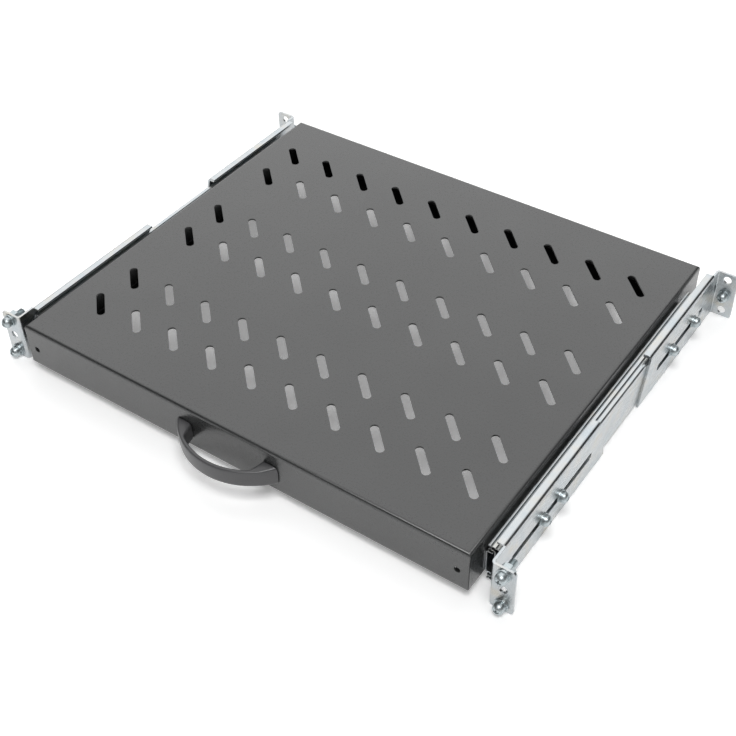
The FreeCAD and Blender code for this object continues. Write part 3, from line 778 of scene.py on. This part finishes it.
for side in ("right", "left"):
    for row in ("outer_balls", "inner_balls"):
        shape = bmesh.new()
        for low, high in solid_boxes(f"{row}_{side}"):
            bmesh.ops.create_uvsphere(
                shape,
                u_segments=BALL_STEPS,
                v_segments=BALL_STEPS // 2,
                radius=max(high - low) / 2,
                matrix=Matrix.Translation((low + high) / 2),
            )
        piece(f"{row}_{side}_polished", shape, f"{row}_{side}", BEARING_STEEL)

# %% [markdown]
# ## Screw heads and washers
# The brackets are clamped with pan head screws, each on a split spring washer and a flat one. A head is a
# short bar with its rim rolled over by a wide bevel, and a tapered cross cut out of it. The spring washer
# is a small bar spun not quite all the way round.

# %% Heads and washers
ROUND_STEPS = 32
CROSS_SPAN = 0.62
CROSS_WIDTH = 0.17
CROSS_DEPTH = 0.55
CROSS_TAPER = 0.55
SPLIT_ANGLE = math.radians(14)


def add_bar(shape, diameter, top, height, rim, rim_steps):
    """A round bar that hangs from a height, with its upper rim rolled over."""
    made = bmesh.ops.create_cone(
        shape,
        cap_ends=True,
        segments=ROUND_STEPS,
        radius1=diameter / 2,
        radius2=diameter / 2,
        depth=height,
        matrix=Matrix.Translation((0, 0, top - height / 2)),
    )
    edges = {edge for vert in made["verts"] for edge in vert.link_edges}
    upper = [edge for edge in edges if all(vert.co.z > top - WELD_GAP for vert in edge.verts)]
    rounded_rim(shape, upper, rim, rim_steps)


def add_split_ring(shape, diameter, bore, top, height):
    """A flat ring with a gap in it."""
    size = Matrix.Diagonal(((diameter - bore) / 2, height, 1, 1))
    upright = Matrix.Rotation(math.pi / 2, 4, "X")
    place = Matrix.Translation(((diameter + bore) / 4, 0, top - height / 2))
    made = bmesh.ops.create_grid(shape, x_segments=1, y_segments=1, size=0.5, matrix=place @ upright @ size)
    ring_face = made["verts"][0].link_faces[0]
    bmesh.ops.spin(
        shape,
        geom=[ring_face],
        cent=(0, 0, 0),
        axis=(0, 0, 1),
        angle=2 * math.pi - SPLIT_ANGLE,
        steps=ROUND_STEPS,
    )


def cross_knife(span, width, depth):
    """Two crossed bars that narrow towards the bottom of the recess."""
    knife = bmesh.new()
    for turn in (0, math.pi / 2):
        size = Matrix.Diagonal((span, width, 2 * depth, 1))
        made = bmesh.ops.create_cube(knife, size=1, matrix=Matrix.Rotation(turn, 4, "Z") @ size)
        tip = [vert for vert in made["verts"] if vert.co.z < 0]
        bmesh.ops.scale(knife, vec=(CROSS_TAPER, CROSS_TAPER, 1), verts=tip)
    return knife


print("round pieces have", ROUND_STEPS, "sides")

# %% [markdown]
# ## Threads
# A thread is rolled into the shank between two dies. It could be painted on as a bump, but the ends of the
# mounting screws stand free behind their nuts, where it shows in outline. A small vee is spun round the
# axis while it climbs by one pitch a turn.

# %% Thread
THREAD_STEPS = 20
THREAD_DEPTH = 0.6


def add_thread(shape, diameter, top, length, pitch):
    """A vee thread on a core, closed at the tip by a flat end."""
    depth = THREAD_DEPTH * pitch
    add_bar(shape, diameter - 2 * depth, top, length, 0.0, 1)
    crest, root = diameter / 2, diameter / 2 - depth
    turns = int((length - pitch) / pitch)
    profile = ((root, 0), (crest, 0.5), (root, 1))
    vee = [shape.verts.new((radius, 0, top - length + climb * pitch)) for radius, climb in profile]
    edges = [shape.edges.new(pair) for pair in zip(vee, vee[1:])]
    bmesh.ops.spin(
        shape,
        geom=vee + edges,
        cent=(0, 0, 0),
        axis=(0, 0, 1),
        dvec=(0, 0, pitch / THREAD_STEPS),
        angle=turns * 2 * math.pi,
        steps=turns * THREAD_STEPS,
    )
    bmesh.ops.remove_doubles(shape, verts=shape.verts, dist=WELD_GAP)
    open_edges = [edge for edge in shape.edges if edge.is_boundary]
    bmesh.ops.holes_fill(shape, edges=open_edges)


print("a turn of thread has", THREAD_STEPS, "steps")

# %% [markdown]
# ## Whole screws
# Clamp screws, mounting screws and the small screws of slides and handle differ only in their sizes. Each
# is made once, with the top of its head at the origin, and stamped at every place that the frame gives for
# it.

# %% Screw helpers
HEAD_ROLL = 0.82
HEAD_STEPS = 6
WASHER_ROLL = 0.2
WASHER_STEPS = 2


def screw_mesh(name, head, washers, thread):
    """A head (diameter, height) on washers (diameter, thickness) and a thread (diameter, length, pitch).

    A washer with a third size, its bore, is split.
    """
    blank = bmesh.new()
    add_bar(blank, head[0], 0, head[1], HEAD_ROLL * head[1], HEAD_STEPS)
    cross = cross_knife(CROSS_SPAN * head[0], CROSS_WIDTH * head[0], CROSS_DEPTH * head[1])
    body = carved(blank, cross, crossed=True)
    level = -head[1]
    for diameter, thickness, *bore in washers:
        if bore:
            add_split_ring(body, diameter, bore[0], level, thickness)
        else:
            add_bar(body, diameter, level, thickness, WASHER_ROLL * thickness, WASHER_STEPS)
        level -= thickness
    diameter, length, pitch = thread
    add_thread(body, diameter, level, length, pitch)
    bmesh.ops.recalc_face_normals(body, faces=body.faces)
    mesh = bpy.data.meshes.new(name)
    body.to_mesh(mesh)
    body.free()
    return mesh


def head_end(low, high, way):
    """The middle of the face of a box that looks this way."""
    end = (low + high) / 2
    for axis, part in enumerate(way):
        if part:
            end[axis] = high[axis] if part > 0 else low[axis]
    return end


def stamp_screws(mesh, node, way):
    """A screw at each solid of a node, its head looking one way."""
    shape = bmesh.new()
    turn = Vector(way).to_track_quat("Z", "Y").to_matrix().to_4x4()
    for low, high in solid_boxes(node):
        stamp(shape, mesh, Matrix.Translation(head_end(low, high, way)) @ turn)
    piece(f"{node}_turned", shape, node, FASTENER_STEEL)


print("a head's rim takes", HEAD_ROLL, "of its height")

# %% [markdown]
# ## Screws in place
# The clamp screws are M5, the mounting screws M6 and the small ones M4, each with its usual pitch. Clamp
# and slide screws look outward, mounting screws look to the front, and the handle's screws are driven from
# inside.

# %% Stamp the screws
CLAMP_HEAD = (9 * MM, 4.3 * MM)
CLAMP_WASHERS = ((8.8 * MM, 1.2 * MM, 5.2 * MM), (10.5 * MM, 1 * MM))
CLAMP_THREAD = (5 * MM, 5 * MM, 0.8 * MM)
MOUNT_HEAD = (9 * MM, 5 * MM)
MOUNT_WASHERS = ((8.8 * MM, 1.6 * MM, 6.2 * MM), (11 * MM, 1.6 * MM))
MOUNT_THREAD = (6 * MM, 14 * MM, 1 * MM)
SMALL_HEAD = (6.9 * MM, 1.7 * MM)
SMALL_WASHERS = ((7.4 * MM, 0.3 * MM),)
SLIDE_THREAD = (4 * MM, 6.7 * MM, 0.7 * MM)
HANDLE_THREAD = (4 * MM, 7.45 * MM, 0.7 * MM)
OUTBOARD = {"right": (1, 0, 0), "left": (-1, 0, 0)}
clamp_screw = screw_mesh("clamp_screw", CLAMP_HEAD, CLAMP_WASHERS, CLAMP_THREAD)
mount_screw = screw_mesh("mount_screw", MOUNT_HEAD, MOUNT_WASHERS, MOUNT_THREAD)
slide_screw = screw_mesh("slide_screw", SMALL_HEAD, SMALL_WASHERS, SLIDE_THREAD)
handle_screw = screw_mesh("handle_screw", SMALL_HEAD, SMALL_WASHERS, HANDLE_THREAD)
for side, outboard in OUTBOARD.items():
    stamp_screws(clamp_screw, f"clamp_screws_{side}", outboard)
    stamp_screws(slide_screw, f"inner_slide_screws_{side}", outboard)
    for end in ("front", "rear"):
        stamp_screws(mount_screw, f"mounting_screws_{end}_{side}", (0, -1, 0))
stamp_screws(handle_screw, "handle_screws", (0, 1, 0))

# %% [markdown]
# ## Nuts
# A nut is cut from hexagon bar and its sharp edges are turned off. Here the CAD nut gets a small bevel,
# which is enough at this size.

# %% Nuts
NUT_EDGE = 0.4 * MM
for side in ("right", "left"):
    for end in ("front", "rear"):
        node = f"mounting_nuts_{end}_{side}"
        piece(f"{node}_hexagon", broken_edges(node, NUT_EDGE), node, FASTENER_STEEL)

# %% [markdown]
# ## Handle
# The bow handle is moulded in one piece, with its section rounded for the hand and its ends spread into
# feet. Loops of points stand along the bow, the last ones widen into the feet, and bridges between them
# make the skin. A subdivision surface then rounds the whole, as a mould maker would blend it.

# %% Handle bow
HANDLE_HEIGHT = 15 * MM
HANDLE_GRIP = 4 * MM
HANDLE_STEPS = 12
SECTION_STEPS = 16
SECTION_POWER = 0.42
BOW_SWEEP = math.radians(29)
FOOT_WIDTH = 15.5 * MM
FOOT_HEIGHT = 18 * MM
FOOT_TOP = 12 * MM
FOOT_SHARES = (1.0, 0.7, 0.35, 0.08, 0.0)
handle_low, handle_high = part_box("front_handle")
handle_level = (handle_low.z + handle_high.z) / 2
bow_reach = handle_high.y - handle_low.y
bow_half = handle_high.x
bow_radius = (bow_half * bow_half + bow_reach * bow_reach) / (2 * bow_reach)


def add_section(shape, middle, across, width, height):
    """A loop of points like a rectangle with round corners; gives its edges."""
    loop = bmesh.ops.create_circle(shape, segments=SECTION_STEPS, radius=1)["verts"]
    for vert in loop:
        flat, tall = (math.copysign(abs(part) ** SECTION_POWER, part) for part in vert.co.xy)
        vert.co = middle + across * (flat * width / 2) + Vector((0, 0, tall * height / 2))
    return list({edge for vert in loop for edge in vert.link_edges})


def half_chord(radius, rise):
    """Half the width of a circle about the bow's axis, at a height above the flange."""
    depth = bow_radius - bow_reach + rise
    return math.sqrt(radius * radius - depth * depth)


def foot_sections(shape, side):
    """Loops of one foot, which fills the corner between the bow and the flange."""
    top_inner = half_chord(bow_radius - HANDLE_GRIP, FOOT_TOP)
    loops = []
    for share in FOOT_SHARES:
        rise = share * FOOT_TOP
        outer = half_chord(bow_radius, rise)
        inner = share * top_inner + (1 - share) * (bow_half - FOOT_WIDTH)
        height = share * HANDLE_HEIGHT + (1 - share) * FOOT_HEIGHT
        middle = Vector((side * (outer + inner) / 2, handle_high.y - rise, handle_level))
        loops.append(add_section(shape, middle, Vector((side, 0, 0)), outer - inner, height))
    return loops


def handle_bow():
    shape = bmesh.new()
    bow_centre = Vector((0, handle_low.y + bow_radius, handle_level))
    bow = []
    for step in range(HANDLE_STEPS + 1):
        angle = BOW_SWEEP * (2 * step / HANDLE_STEPS - 1)
        outward = Vector((math.sin(angle), -math.cos(angle), 0))
        middle = bow_centre + outward * (bow_radius - HANDLE_GRIP / 2)
        bow.append(add_section(shape, middle, outward, HANDLE_GRIP, HANDLE_HEIGHT))
    loops = foot_sections(shape, -1)[::-1] + bow + foot_sections(shape, 1)
    for first, second in zip(loops, loops[1:]):
        bmesh.ops.bridge_loops(shape, edges=first + second)
    for rim in (loops[0], loops[-1]):
        bmesh.ops.edgeloop_fill(shape, edges=rim)
    bmesh.ops.recalc_face_normals(shape, faces=shape.faces)
    return applied(shape, "SUBSURF", levels=2, render_levels=2)


piece("moulded_handle", handle_bow(), "front_handle", BLACK_PLASTIC)
